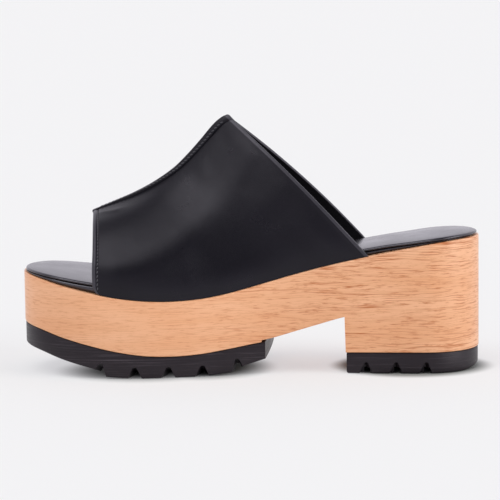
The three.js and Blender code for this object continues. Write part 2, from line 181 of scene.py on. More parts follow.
def makePiece(name, points, faces, material, sharp=35, weld=True, kinds=None):
    mesh = bpy.data.meshes.new(name)
    mesh.from_pydata(toRow(points).tolist(), [], [tuple(map(int, f)) for f in faces])
    if kinds is not None:
        mesh.polygons.foreach_set("material_index", kinds)
    piece = bpy.data.objects.new(name, mesh)
    bpy.context.scene.collection.objects.link(piece)
    if weld:
        weldPiece(piece)
    smooth(mesh, sharp)
    mesh.materials.append(material)
    return piece


def smooth(mesh, sharp):
    mesh.polygons.foreach_set("use_smooth", [True] * len(mesh.polygons))
    mesh.set_sharp_from_angle(angle=math.radians(sharp))


def weldPiece(piece, near=2e-6, thin=1e-7):
    work = bmesh.new()
    work.from_mesh(piece.data)
    bmesh.ops.remove_doubles(work, verts=work.verts, dist=near)
    bmesh.ops.dissolve_degenerate(work, edges=work.edges, dist=thin)
    dropCrumbs(work)
    closeGaps(work)
    bmesh.ops.recalc_face_normals(work, faces=work.faces)
    work.to_mesh(piece.data)
    work.free()


def dropCrumbs(work, fewest=6):
    # loose bits of a few faces, left over from cutting and bevelling
    waiting = set(work.faces)
    while waiting:
        island, front = set(), [waiting.pop()]
        while front:
            face = front.pop()
            island.add(face)
            near = {other for edge in face.edges for other in edge.link_faces} & waiting
            waiting -= near
            front += near
        if len(island) < fewest:
            bmesh.ops.delete(work, geom=list(island), context="FACES")


def closeGaps(work, most=60):
    # takes out the smallest face wherever three meet at an edge, then fills small holes
    for _ in range(3):
        crowded = [edge for edge in work.edges if len(edge.link_faces) > 2]
        extra = {min(edge.link_faces, key=lambda face: face.calc_area()) for edge in crowded}
        bmesh.ops.delete(work, geom=list(extra), context="FACES")
        rims = [edge for edge in work.edges if edge.is_boundary]
        if 0 < len(rims) < most:
            bmesh.ops.holes_fill(work, edges=rims, sides=12)


def gridFaces(rows, columns, start=0):
    return [
        (start + r * columns + c, start + r * columns + c + 1,
         start + (r + 1) * columns + c + 1, start + (r + 1) * columns + c)
        for r in range(rows - 1)
        for c in range(columns - 1)
    ]


class Shading:
    # short ways to add nodes to one material or world
    def __init__(self, tree):
        self.nodes, self.links = tree.nodes, tree.links

    def link(self, output, socket):
        self.links.new(output, socket)

    def put(self, kind, vector=None, **numbers):
        node = self.nodes.new(kind)
        for name, number in numbers.items():
            node.inputs[name].default_value = number
        if vector:
            self.link(vector, node.inputs["Vector"])
        return node

    def own(self):
        return self.put("ShaderNodeTexCoord").outputs["Object"]

    def stretched(self, source, scale):
        return self.put("ShaderNodeMapping", source, Scale=scale).outputs["Vector"]

    def noise(self, vector, scale=1.0, detail=3.0, roughness=0.5):
        texture = self.put("ShaderNodeTexNoise", vector, Scale=scale, Detail=detail,
                           Roughness=roughness)
        return texture.outputs["Fac"]

    def ranged(self, value, low, high, toLow=0.0, toHigh=1.0, smooth=False):
        node = self.nodes.new("ShaderNodeMapRange")
        if smooth:
            node.interpolation_type = "SMOOTHSTEP"
        ends = {"From Min": low, "From Max": high, "To Min": toLow, "To Max": toHigh}
        for name, number in ends.items():
            node.inputs[name].default_value = number
        self.link(value, node.inputs["Value"])
        return node.outputs["Result"]

    def calc(self, kind, a, b):
        node = self.nodes.new("ShaderNodeMath")
        node.operation = kind
        for socket, value in zip(node.inputs, (a, b)):
            if isinstance(value, (int, float)):
                socket.default_value = value
            else:
                self.link(value, socket)
        return node.outputs["Value"]

    def times(self, a, b):
        return self.calc("MULTIPLY", a, b)

    def plus(self, a, b):
        return self.calc("ADD", a, b)

    def minus(self, a, b):
        return self.calc("SUBTRACT", a, b)

    def mixColour(self, factor, a, b):
        node = self.nodes.new("ShaderNodeMix")
        node.data_type = "RGBA"
        self.link(factor, node.inputs["Factor"])
        for socket, value in ((node.inputs["A"], a), (node.inputs["B"], b)):
            if isinstance(value, tuple):
                socket.default_value = (*value, 1)
            else:
                self.link(value, socket)
        return node.outputs["Result"]

    def bump(self, shader, layers):
        # layers are (height, strength, distance in metres), the coarsest first
        previous = None
        for height, strength, distance in layers:
            node = self.put("ShaderNodeBump", Strength=strength, Distance=distance)
            self.link(height, node.inputs["Height"])
            if previous:
                self.link(previous, node.inputs["Normal"])
            previous = node.outputs["Normal"]
        self.link(previous, shader.inputs["Normal"])


def newMaterial(name):
    material = bpy.data.materials.new(name)
    material.use_nodes = True
    return material, Shading(material.node_tree), material.node_tree.nodes["Principled BSDF"]


def setShader(shader, **values):
    # constants on the shader's own sockets; an underscore stands for a space
    for name, value in values.items():
        shader.inputs[name.replace("_", " ")].default_value = value


woodLook = {
    "pale": (0.86, 0.475, 0.27),
    "warm": (0.755, 0.345, 0.158),
    "line": (0.47, 0.13, 0.028),
    "roughness": 0.4,
    "fibre": (150, 150, 1700),  # cells per metre along and across the grain
    "streak": (24, 24, 880),
    "patch": (22, 22, 260),
    "band": (9, 9, 110),
    "sway": 0.0032,  # how far the grain wavers up and down, in metres
    "ripple": 0.0004,
    "plainFront": (-0.04, 0.05),  # the grain is weaker in front of this stretch
}


def makeWood(look):
    material, net, shader = newMaterial("platform wood")
    own = net.own()
    place = net.put("ShaderNodeSeparateXYZ", own)
    rear = net.ranged(place.outputs["X"], *look["plainFront"], 0.3, 1.0, smooth=True)

    # the grain lies level all round and wavers up and down
    sway = net.noise(own, scale=30, detail=2)
    ripple = net.noise(net.stretched(own, (140, 140, 300)), detail=2)
    lift = net.times(net.minus(sway, 0.5), look["sway"])
    small = net.times(net.minus(ripple, 0.5), look["ripple"])
    swayed = net.put("ShaderNodeCombineXYZ")
    net.link(place.outputs["X"], swayed.inputs["X"])
    net.link(place.outputs["Y"], swayed.inputs["Y"])
    net.link(net.plus(place.outputs["Z"], net.plus(lift, small)), swayed.inputs["Z"])
    grain = swayed.outputs["Vector"]

    fibre = net.noise(net.stretched(grain, look["fibre"]), detail=4, roughness=0.65)
    streak = net.noise(net.stretched(grain, look["streak"]), detail=1)
    patch = net.noise(net.stretched(grain, look["patch"]), detail=3)
    band = net.noise(net.stretched(grain, look["band"]), detail=2)
    cloud = net.noise(own, scale=18, detail=2)

    tone = net.plus(net.times(net.ranged(band, 0.35, 0.7), 0.45),
                    net.times(net.ranged(cloud, 0.35, 0.7), 0.3))
    colour = net.mixColour(tone, look["pale"], look["warm"])
    # thin lines run where the streak noise passes its middle
    middle = net.calc("ABSOLUTE", net.minus(streak, 0.5), 0)
    lines = net.times(net.ranged(middle, 0.006, 0.046, 0.95, 0),
                      net.ranged(patch, 0.4, 0.6, 0.25, 1))
    colour = net.mixColour(net.times(lines, rear), colour, look["line"])
    pores = net.times(net.ranged(fibre, 0.53, 0.67, 0, 0.72), net.ranged(rear, 0.3, 1, 0.6, 1))
    net.link(net.mixColour(pores, colour, look["line"]), shader.inputs["Base Color"])
    rough = look["roughness"]
    net.link(net.ranged(fibre, 0.3, 0.8, rough - 0.04, rough + 0.1), shader.inputs["Roughness"])
    setShader(shader, Specular_IOR_Level=0.38, Coat_Weight=0.15, Coat_Roughness=0.25)
    net.bump(shader, [(middle, 0.12, 0.0002), (fibre, 0.15, 0.00015)])
    return material


rubberLook = {
    "base": (0.012, 0.0088, 0.0113),
    "worn": (0.06, 0.05, 0.058),
    "roughness": 0.36,
    "streak": (24, 24, 1300),
}


def makeRubber(look):
    material, net, shader = newMaterial("sole rubber")
    own = net.own()
    streak = net.noise(net.stretched(own, look["streak"]), detail=4, roughness=0.65)
    patch = net.noise(net.stretched(own, (60, 60, 160)), detail=3)
    grit = net.noise(own, scale=2600, detail=2)
    wear = net.times(net.ranged(streak, 0.5, 0.72), net.ranged(patch, 0.38, 0.65, 0.15, 1))
    net.link(net.mixColour(wear, look["base"], look["worn"]), shader.inputs["Base Color"])
    rough = look["roughness"]
    net.link(net.ranged(streak, 0.3, 0.7, rough - 0.06, rough + 0.16), shader.inputs["Roughness"])
    setShader(shader, Specular_IOR_Level=0.32, Specular_Tint=(1, 0.93, 0.99, 1))
    net.bump(shader, [(streak, 0.8, 0.00025), (grit, 0.15, 0.0001)])
    return material


leatherLooks = {
    "band": {
        "name": "band leather",
        "base": (0.0032, 0.0029, 0.0052),
        "soft": (0.0052, 0.0048, 0.0078),
        "roughness": 0.3,
        "gloss": 0.28,
        "grain": 0.24,
    },
    # the turned edge's lighter colour is a painted highlight along its rounded fold
    "edge": {
        "name": "band turned edge with painted highlight",
        "base": (0.022, 0.021, 0.027),
        "soft": (0.04, 0.038, 0.046),
        "roughness": 0.38,
        "gloss": 0.5,
        "grain": 0.12,
    },
    "insole": {
        "name": "insole leather",
        "base": (0.011, 0.0105, 0.0135),
        "soft": (0.018, 0.017, 0.0215),
        "roughness": 0.21,
        "gloss": 0.85,
        "grain": 0.05,
    },
    "board": {
        "name": "wrapped board leather",
        "base": (0.012, 0.0116, 0.0145),
        "soft": (0.02, 0.0195, 0.0235),
        "roughness": 0.24,
        "gloss": 0.9,
        "grain": 0.08,
    },
    "lining": {
        "name": "band lining",
        "base": (0.0035, 0.0034, 0.0045),
        "soft": (0.006, 0.0058, 0.0075),
        "roughness": 0.7,
        "gloss": 0.15,
        "grain": 0.15,
    },
}


def makeLeather(look):
    material, net, shader = newMaterial(look["name"])
    place = net.own()
    # pebbles of the grain, with their cells a little bent
    wobble = net.put("ShaderNodeTexNoise", place, Scale=420)
    bent = net.nodes.new("ShaderNodeMix")
    bent.data_type = "VECTOR"
    bent.inputs["Factor"].default_value = 0.0012
    net.link(place, bent.inputs["A"])
    net.link(wobble.outputs["Color"], bent.inputs["B"])
    cells = net.put("ShaderNodeTexVoronoi", bent.outputs["Result"], Scale=1500)
    cells.feature = "DISTANCE_TO_EDGE"
    pebble = net.ranged(cells.outputs["Distance"], 0, 0.28)

    fine = net.noise(place, scale=3200)
    cloud = net.noise(place, scale=40, detail=5, roughness=0.62)
    ripple = net.noise(place, scale=110, detail=2)
    net.link(net.mixColour(net.ranged(cloud, 0.35, 0.68), look["base"], look["soft"]),
             shader.inputs["Base Color"])
    rough = look["roughness"]
    net.link(net.ranged(cloud, 0.3, 0.7, rough + 0.05, rough - 0.04), shader.inputs["Roughness"])
    setShader(shader, Specular_IOR_Level=look["gloss"], Specular_Tint=(0.94, 0.9, 1, 1))
    net.bump(shader, [
        (ripple, 0.12, 0.0004),
        (pebble, look["grain"], 0.0001),
        (fine, look["grain"], 0.00008),
    ])
    return material


def makeThread():
    material, net, shader = newMaterial("thread")
    twist = net.noise(net.own(), scale=1800)
    net.link(net.mixColour(twist, (0.02, 0.019, 0.023), (0.1, 0.097, 0.112)),
             shader.inputs["Base Color"])
    setShader(shader, Roughness=0.5)
    return material


wood = makeWood(woodLook)
rubber = makeRubber(rubberLook)
leather = {key: makeLeather(look) for key, look in leatherLooks.items()}
thread = makeThread()
print("materials made")


def soleShares(count, breaks=()):
    # even steps round the inner side, with exact stations at the breaks
    fine = 0.5 - 0.5 * np.cos(np.linspace(0, np.pi, 4001))
    edge = outline(fine, -1)
    walked = np.r_[0, np.cumsum(np.linalg.norm(np.diff(edge, axis=0), axis=1))]
    even = np.interp(np.linspace(0, walked[-1], count + 1), walked, fine)
    keep = [all(abs(share - b) > 0.0016 for b in breaks) for share in even]
    return np.sort(np.r_[even[keep], np.array(breaks, float)])


def ring(shares, inset, height):
    # once round: the inner side from heel to toe, then back along the outer side
    stations = np.r_[shares, shares[-2:0:-1]]
    sides = np.r_[-np.ones(len(shares)), np.ones(len(shares) - 2)]
    x = xAt(stations)
    y = sides * halfWidth(stations) - sole["toeSwing"] * swing(stations)
    along = np.stack([np.roll(x, -1) - np.roll(x, 1), np.roll(y, -1) - np.roll(y, 1)], -1)
    along /= np.linalg.norm(along, axis=1, keepdims=True)
    depth = inset(stations) if callable(inset) else inset
    x, y = x + along[:, 1] * depth, y - along[:, 0] * depth
    return np.stack([x, y, height(shareAt(x), stations)], -1)


def slab(shares, loops, across=2, rise=None):
    # a closed body: loops from the lowest to the highest, with a cover below and above
    rings = [ring(shares, inset, height) for inset, height in loops]
    wall = [np.vstack([loop, loop[:1]]) for loop in rings]
    points, total = [np.vstack(wall)], len(wall) * len(wall[0])
    faces = gridFaces(len(wall), len(wall[0]))
    for loop, lift in ((rings[0], None), (rings[-1], rise)):
        inner = loop[: len(shares)]
        outer = np.vstack([loop[:1], loop[len(shares):][::-1], loop[len(shares) - 1: len(shares)]])
        t = np.linspace(0, 1, across + 1)[None, :, None]
        rows = mix(inner[:, None, :], outer[:, None, :], t)
        if lift:
            rows[..., 2] += lift(t[..., 0], np.linalg.norm(outer - inner, axis=1)[:, None])
        points.append(rows.reshape(-1, 3))
        faces += gridFaces(len(shares), across + 1, total)
        total += len(points[-1])
    return np.vstack(points), faces


def roundedEdge(radius, steps, edge, upward):
    # loops round a convex edge, in the order of a slab's loops
    angles = np.linspace(0, math.pi / 2, steps)
    way = -1 if upward else 1
    return [
        (radius * (1 - math.cos(a)),
         lambda s, st, a=a: edge(s, st) + way * radius * (1 - math.sin(a)))
        for a in (angles if upward else angles[::-1])
    ]


platform = {
    "treadThickness": 11.5,
    "liftThickness": 11.3,
    "thickness": 30.3,
    "heelRise": 31.8,
    "toeRise": 14.0,
    "archRelief": 1.0,
    "heelBlockLength": 73.1,
    "breastLean": 1.0,
    "frontSoleLength": 134.5,
    "archStep": 0.2,
    "edgeRound": 0.7,
    "stations": 230,
}
treadHeight = platform["treadThickness"] + sole["clearance"] + platform["thickness"]
archStart = platform["heelBlockLength"] / sole["length"]
archEnd = 1 - platform["frontSoleLength"] / sole["length"]
breastMiddle = archStart + platform["breastLean"] / 2 / sole["length"]
stepMiddle = archEnd + platform["archStep"] / 2 / sole["length"]
heelBase = platform["liftThickness"] + sole["clearance"]


def platformTop(share, station=None):
    rise = platform["heelRise"] * heelShare(share) + platform["toeRise"] * toeShare(share)
    return treadHeight + rise


def soleSeat(share, station=None):
    return platformTop(share) - platform["thickness"] * thicknessShare(share)


def platformBottom(share, station):
    arch = soleSeat(share) + np.where(station < stepMiddle, platform["archRelief"], 0)
    return np.where(station < breastMiddle, heelBase, arch)


def makePlatform():
    breaks = (archStart, archStart + platform["breastLean"] / sole["length"],
              archEnd, archEnd + platform["archStep"] / sole["length"])
    r = platform["edgeRound"]
    loops = roundedEdge(r, 5, platformBottom, False) + roundedEdge(r, 5, platformTop, True)
    points, faces = slab(soleShares(platform["stations"], breaks), loops)
    piece = makePiece("platform_wood", points, faces, wood, sharp=38)
    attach(piece, "root")
    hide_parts("platform_midsole")
    return piece


makePlatform()
print("platform made")

tread = {
    "inset": 0.4,
    "edgeRound": 1.0,
    "topRound": 0.3,
    "rearRoll": 2.1,
    "frontRoll": 1.2,
    "flatLength": 32.0,
    "rollPower": 1.6,
    "bevel": 2.4,
    "bevelLength": 11.0,
    "bulge": 1.8,
    "skew": 1.7,
    "pitch": 18.3,
    "count": 5,
    "lastGap": 13.9,
    "liftPitch": 16.5,
    "liftCount": 3,
    "liftGap": 11.2,
    "notchWidth": 8.4,
    "notchTip": 0.3,
    "notchHeight": 6.6,
    "notchShoulder": 0.93,  # shares of a notch's height and of its half width
    "notchCrown": 1.06,
    "notchFlare": 1.15,
    "deepNotch": {"depth": 10.0, "lean": 0.0, "taper": (0.4, 1, 0.5)},
    "liftNotch": {"depth": 5.0, "lean": 1.7, "taper": (0.45, 1, 0.8)},
    "endHeight": 7.6,
    "endSlope": 5.4,
    "endSteep": 2.6,
    "toeSlope": 7.0,
    "grooveWidth": 3.4,
    "grooveDepth": 3.0,
    "softEdge": 0.3,
    "frontRound": 1.5,
}
rearEdge = float(xAt(archEnd))
breast = float(xAt(archStart))
notchPlaces = [rearEdge - tread["lastGap"] - i * tread["pitch"] for i in range(tread["count"])]
liftPlaces = [breast + tread["liftGap"] + i * tread["liftPitch"] for i in range(tread["liftCount"])]


def soleBottom(share, station=None):
    x = xAt(share)
    rear, front = notchPlaces[0], notchPlaces[-1]
    reach = tread["notchWidth"] / 2
    curl = np.maximum(ease(x, rear, rear + reach), ease(-x, -front, reach - front))
    centre, flatHalf = (rear + front) / 2, tread["flatLength"] / 2
    roll = np.clip((abs(x - centre) - flatHalf) / ((rear - front) / 2 - flatHalf), 0, 1)
    flat = np.where(x > centre, tread["rearRoll"], tread["frontRoll"]) * roll ** tread["rollPower"]
    curled = soleSeat(share) - sole["clearance"] - platform["treadThickness"] * soleShare(share)
    return mix(flat, np.maximum(curled, flat), curl)


def liftBottom(share, station=None):
    reach = np.clip(1 - share * sole["length"] / tread["bevelLength"], 0, 1)
    return tread["bevel"] * reach**2


def prism(profile, low, high, axis):
    # a closed body between two copies of a plan ("z") or a side view ("y")
    flat, ends = np.array(profile, float), []
    for place in (low, high):
        third = np.full(len(flat), float(place))
        order = (flat[:, 0], flat[:, 1], third) if axis == "z" else (flat[:, 0], third, flat[:, 1])
        ends.append(np.stack(order, -1))
    n = len(flat)
    faces = [tuple(range(n)), tuple(range(2 * n - 1, n - 1, -1))]
    faces += [(i, (i + 1) % n, n + (i + 1) % n, n + i) for i in range(n)]
    return np.vstack(ends), faces


def notchBody(x, side, bottom, pocket, height, toeHalf, heelHalf):
    # a wedge with a round tip, cut in from one side; its far end is narrower and leans
    tip, flare = tread["notchTip"], tread["notchFlare"]
    shoulder, crown = height * tread["notchShoulder"], height * tread["notchCrown"]
    a, b, c = np.array([(-toeHalf * tip, shoulder), (0, crown), (heelHalf * tip, shoulder)])
    t = np.linspace(0, 1, 7)[:, None]
    arch = (1 - t) ** 2 * a + 2 * t * (1 - t) * b + t**2 * c
    profile = np.vstack([[-toeHalf * flare, -1], arch, [heelHalf * flare, -1]])
    points, faces = prism(profile, 0, pocket["depth"] + 1, "y")
    points[len(profile):] *= pocket["taper"]
    points[len(profile):, 0] -= pocket["lean"]
    edge = abs(float(outline(shareAt(x), side)[1])) + 1
    return points * np.array([1, -side, 1]) + np.array([x, side * edge, bottom]), faces


def cutBody(piece, cutters):
    cutter = makePiece("cutter", *cutters, rubber)
    modifier = piece.modifiers.new("cut", "BOOLEAN")
    modifier.operation = "DIFFERENCE"
    modifier.solver = "EXACT"
    modifier.use_self = True
    modifier.object = cutter
    bake(piece)
    bpy.data.objects.remove(cutter)


def joined(bodies):
    points, faces, start = [], [], 0
    for body, cells in bodies:
        points.append(body)
        faces += [tuple(i + start for i in face) for face in cells]
        start += len(body)
    return np.vstack(points), faces


def bake(piece):
    graph = bpy.context.evaluated_depsgraph_get()
    old = piece.data
    piece.data = bpy.data.meshes.new_from_object(piece.evaluated_get(graph), depsgraph=graph)
    piece.modifiers.clear()
    bpy.data.meshes.remove(old)
    piece.data.name = piece.name


def roundedFront(x, away, top, radius):
    # side view of what is cut off in front of the lift, whose front corners are round
    lip = tread["topRound"] * 2
    low = [(x + radius * (1 - math.sin(a)), radius * (1 - math.cos(a)))
           for a in np.linspace(0.12, math.pi / 2, 8)]
    high = [(x + lip * (1 - math.cos(a)), top - lip * (1 - math.sin(a)))
            for a in np.linspace(0, math.pi / 2 - 0.1, 4)]
    return [(away, -50), (low[0][0], -50)] + low + high + [(high[-1][0], 400), (away, 400)]


def bowedEnd(x, away, bulge, skew):
    # plan of what is cut off behind the forefoot's rubber, whose rear edge is bowed and askew
    half = 60.0
    edge = [(x + bulge * (1 - t * t) + skew * (t + 1) / 2, t * half)
            for t in np.linspace(-1, 1, 17)]
    return edge + [(away, half), (away, -half)]


def makeSole(name, bottom, top, cutter, places, shapes, pocket):
    # a full-length slab of rubber, cut down to one end of the shoe and notched on both sides
    loops = roundedEdge(tread["edgeRound"], 5, bottom, False)
    loops += roundedEdge(tread["topRound"], 3, top, True)
    loops = [(tread["inset"] + inset, height) for inset, height in loops]
    piece = makePiece(name, *slab(soleShares(220), loops), rubber)
    cutters = [cutter]
    half, deep = tread["grooveWidth"] / 2, tread["grooveDepth"]
    for x, shape in zip(places, shapes):
        base = float(bottom(shareAt(x)))
        low, high, left, right = base - deep, base + deep, x - half, x + half
        groove = [(left, low), (right, low), (right, high), (left, high)]
        cutters.append(prism(groove, -90, 90, "y"))
        cutters += [notchBody(x, side, base, pocket, *shape) for side in (-1, 1)]
    for body in cutters:
        cutBody(piece, body)
    bevel = piece.modifiers.new("soft edges", "BEVEL")
    bevel.width = tread["softEdge"] * mm
    bevel.segments = 2
    bevel.limit_method = "ANGLE"
    bevel.angle_limit = math.radians(45)
    bevel.use_clamp_overlap = True
    bake(piece)
    weldPiece(piece, 2e-5, 5e-6)
    smooth(piece.data, 32)
    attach(piece, "root")
    return piece


plain = (tread["notchHeight"], tread["notchWidth"] / 2, tread["notchWidth"] / 2)
rearNotch = (tread["endHeight"], tread["endSteep"], tread["endSlope"])
toeNotch = (tread["endHeight"], tread["toeSlope"], tread["endSteep"])
forefoot = makeSole(
    "forefoot_rubber", soleBottom, lambda s, st: soleSeat(s) - sole["clearance"],
    prism(bowedEnd(rearEdge, 300, tread["bulge"], tread["skew"]), -50, 400, "z"),
    notchPlaces, [rearNotch] + [plain] * (tread["count"] - 2) + [toeNotch], tread["deepNotch"])
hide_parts("forefoot_outsole")
heelLift = makeSole(
    "heel_rubber", liftBottom, lambda s, st: platform["liftThickness"] + 0 * s,
    prism(roundedFront(breast, -300, platform["liftThickness"], tread["frontRound"]), -90, 90, "y"),
    liftPlaces, [plain] * tread["liftCount"], tread["liftNotch"])
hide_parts("heel_lift")
print("rubber soles made")

footbed = {
    "boardRise": 5.9,
    "padRim": 1.8,
    "rimHeight": 1.6,
    "padCrown": 0.9,
    "endInset": 1.1,
    "padLip": 1.2,
    "padPlay": 1.2,
    "boardRound": 1.4,
    "heelFade": 0.35,  # share of the heel's length from which the insets grow
    "crownPower": 0.7,
    "stations": 210,
}
band = {
    "wall": 2.0,
    "inset": 0.3,
    "toeArchHeight": 46.2,
    "instepHeight": 98.4,
    "toeEdgeLength": 210.2,
    "outerSetback": 4.0,
    "toePoint": 4.9,
    "ridgeLength": 75.2,
    "collarLength": 61.5,
    "collarBow": 2.9,
    "cornerCut": 2.0,
    "cornerReach": (0.1, 0.06),  # of the height and of the hoops
    "toePeak": 0.55,
    "toeLean": 1.2,
    "seamHalfWidth": 1.9,
    "seamRaise": 0.5,
    "ridge": (
        # at, rise
        (0, 0),
        (0.15, 0.087),
        (0.3, 0.178),
        (0.45, 0.29),
        (0.6, 0.437),
        (0.7, 0.574),
        (0.8, 0.732),
        (0.9, 0.9),
        (0.96, 0.973),
        (1, 1),
    ),
}
toeEdgeShare = band["toeEdgeLength"] / sole["length"]
collarShare = band["collarLength"] / sole["length"]


def padInset(share):
    atToe = ease(share, toeEdgeShare, 1)
    atHeel = 1 - ease(share, collarShare * footbed["heelFade"], collarShare)
    wallInset = band["inset"] + band["wall"] + footbed["padPlay"]
    return mix(wallInset, footbed["endInset"], np.maximum(atToe, atHeel))


def boardInset(share):
    return padInset(share) + footbed["padLip"] * (1 - ease(share, collarShare, toeEdgeShare))


def boardTop(share, station=None):
    return platformTop(share) + footbed["boardRise"] * boardShare(share)


def makeBoard():
    def low(s):
        return platformTop(s) + sole["clearance"]

    def high(s):
        return boardTop(s) - sole["clearance"]

    def radius(s):
        return np.minimum(footbed["boardRound"], (high(s) - low(s)) / 2)

    turns, loops = np.linspace(0, math.pi / 2, 5), []
    for face, way, angles in ((low, 1, turns[::-1]), (high, -1, turns)):
        loops += [
            (lambda s, a=a: boardInset(s) + radius(s) * (1 - math.cos(a)),
             lambda s, st, a=a, face=face, way=way: face(s) + way * radius(s) * (1 - math.sin(a)))
            for a in angles
        ]
    points, faces = slab(soleShares(footbed["stations"]), loops)
    piece = makePiece("wrapped_board", points, faces, leather["board"], sharp=50)
    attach(piece, "root")
    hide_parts("footbed_board")
    return piece


def makeInsole():
    soft, rim, lift = footbed["padRim"] * 0.3, footbed["padRim"], footbed["rimHeight"]
    edge = [(soft * (1 - math.cos(a)), soft * (1 - math.sin(a)))
            for a in np.linspace(math.pi / 2, 0, 5)]
    edge += [(rim * (1 - math.cos(a)), soft + (lift - soft) * math.sin(a))
             for a in np.linspace(0.12, math.pi / 2, 8)]
    loops = [(lambda s, i=i: padInset(s) + i, lambda s, st, h=h: boardTop(s) + h) for i, h in edge]

    def crown(t, width):
        swell = (4 * t * (1 - t)) ** footbed["crownPower"]
        return footbed["padCrown"] * swell * np.minimum(1, width / sole["heelWidth"])

    points, faces = slab(soleShares(footbed["stations"]), loops, 24, crown)
    piece = makePiece("insole_pad", points, faces, leather["insole"], sharp=60)
    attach(piece, "root")
    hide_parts("insole")
    return piece


makeBoard()
makeInsole()
print("board and insole made")

ridgeRise = column(band["ridge"], 1)
ridgeStart = float(xAt(toeEdgeShare)) - band["toePoint"]


def hoopFrame(hoop, side):
    # a hoop's foot and its point on the ridge; hoop is 0 at the toe opening and 1 at the collar
    setback = band["outerSetback"] * (1 - hoop) ** 2 if side > 0 else 0 * hoop
    share = mix(toeEdgeShare, collarShare, hoop) - setback / sole["length"]
    foot = outline(share, side, band["inset"])
    height = platformTop(shareAt(foot[..., 0])) + sole["clearance"]
    foot = np.concatenate([foot, height[..., None]], -1)
    x = ridgeStart + band["ridgeLength"] * hoop
    rise = mix(band["toeArchHeight"], band["instepHeight"], ridgeRise(hoop))
    ridge = np.stack([x, -sole["toeSwing"] * swing(shareAt(x)), treadHeight + rise], -1)
    return foot, ridge, mix(band["toePeak"], 1, hoop)


def bandPoint(hoop, turn, side):
    # turn is 0 at the foot of the hoop and a quarter turn on the ridge
    hoop, turn = np.broadcast_arrays(np.asarray(hoop, float), np.asarray(turn, float))
    foot, ridge, peak = hoopFrame(hoop, side)
    width = np.maximum(np.cos(turn), 0) ** (2 * peak)
    height = np.sin(turn)
    bow = band["collarBow"] / (foot[..., 0] - ridge[..., 0]) * np.sin(math.pi * height)
    along = mix((1 - width) ** band["toeLean"], height - bow * hoop, hoop)
    low, early = band["cornerReach"]
    corner = np.maximum(0, 1 - height / low) ** 2 * np.maximum(0, 1 - hoop / early)
    return np.stack([
        mix(foot[..., 0], ridge[..., 0], along) + band["cornerCut"] * corner,
        mix(ridge[..., 1], foot[..., 1], width),
        mix(foot[..., 2], ridge[..., 2], height),
    ], -1)


def turnAt(hoop, side, distance):
    foot, ridge, peak = hoopFrame(np.asarray(hoop, float), side)
    return np.arccos((distance / abs(foot[..., 1] - ridge[..., 1])) ** (1 / (2 * peak)))


def unit(v):
    return v / np.linalg.norm(v, axis=-1, keepdims=True)


def bandNormal(hoop, turn, side):
    step = 0.003
    h0, h1 = np.maximum(hoop - step, 0), np.minimum(hoop + step, 1)
    t0, t1 = np.maximum(turn - step, 0.0005), np.minimum(turn + step, math.pi / 2 - 0.0005)
    length = bandPoint(h1, turn, side) - bandPoint(h0, turn, side)
    girth = bandPoint(hoop, t1, side) - bandPoint(hoop, t0, side)
    return unit(np.cross(length, girth)) * -side


skin = {
    "columns": 96,
    "rows": 150,
    "edgeRows": (0, 0.25, 0.5, 0.75, 1.0, 1.3, 1.6, 1.85, 2.1, 2.3, 2.5, 2.75, 3.0, 3.4, 3.9),
    "edgeKeep": 14.0,  # no leaning out this near to both edges
    "edgeRoll": 0.28,
    "edgeRollAt": 0.9,
    "edgeRollWidth": 0.75,
    "stitchLine": 2.35,
    "stitchDip": 0.28,
    "stitchDipWidth": 0.36,
    # rows of the turned edge, which carry its painted highlight
    "turned": 1.0,
    "fold": 0.2,  # the collar's turned edge stands out
    "foldWidth": 2.2,
    "belly": 1.1,  # the leather stands out over its foot
    "bellyHeight": 9.0,
    "seamColumns": 7,
    "seamTop": 0.85,  # share of the seam's half width that is level
    "rim": 0.72,  # how far a rim bulges, against half the wall
    "rimRows": 9,
}


def sideGrid(side, columns):
    # hoops and turns of one half of the band; the rows next to both edges keep their distance
    c, near = np.linspace(0, 1, columns + 1), 0.004
    rates = []
    for first, last in ((0.0, near), (1 - near, 1.0)):
        ends = np.array([first, last])
        seam = turnAt(ends, side, band["seamHalfWidth"])
        step = bandPoint(last, seam[1] * c, side) - bandPoint(first, seam[0] * c, side)
        ridge = hoopFrame(ends, side)[1]
        onRidge = np.linalg.norm(ridge[1] - ridge[0]) / near
        rates.append(mix(np.linalg.norm(step, axis=1) / near, onRidge, ease(c, 0.75, 1)))
    toeRate, collarRate = rates
    edge = np.array(skin["edgeRows"])
    start, stop = edge[:, None] / toeRate, 1 - edge[::-1, None] / collarRate
    inner = np.linspace(0, 1, skin["rows"] + 2)[1:-1, None]
    hoops = np.vstack([start, mix(start[-1], stop[0], inner), stop])
    fixed = np.repeat(edge[:, None], len(c), 1)
    toToe = np.vstack([fixed, hoops[len(edge):] * toeRate])
    toCollar = np.vstack([(1 - hoops[:-len(edge)]) * collarRate, fixed[::-1]])
    turns = turnAt(hoops, side, band["seamHalfWidth"]) * c
    return hoops, turns, toToe, toCollar


def toeEdgeShape(distance):
    roll = skin["edgeRoll"] * bell(distance, skin["edgeRollAt"], skin["edgeRollWidth"])
    dip = skin["stitchDip"] * bell(distance, skin["stitchLine"], skin["stitchDipWidth"])
    return roll - dip


def collarEdgeShape(distance):
    width = skin["foldWidth"]
    return skin["fold"] * (1 - ease(distance, width * 0.3, width * 1.6))


def bellyShape(base):
    # over the foot the leather leans out, then comes back to the hoop
    up = (base[..., 2] - base[:, :1, 2]) / skin["bellyHeight"]
    return skin["belly"] * up * np.exp(1 - up) * ease(up, 0, 0.4)


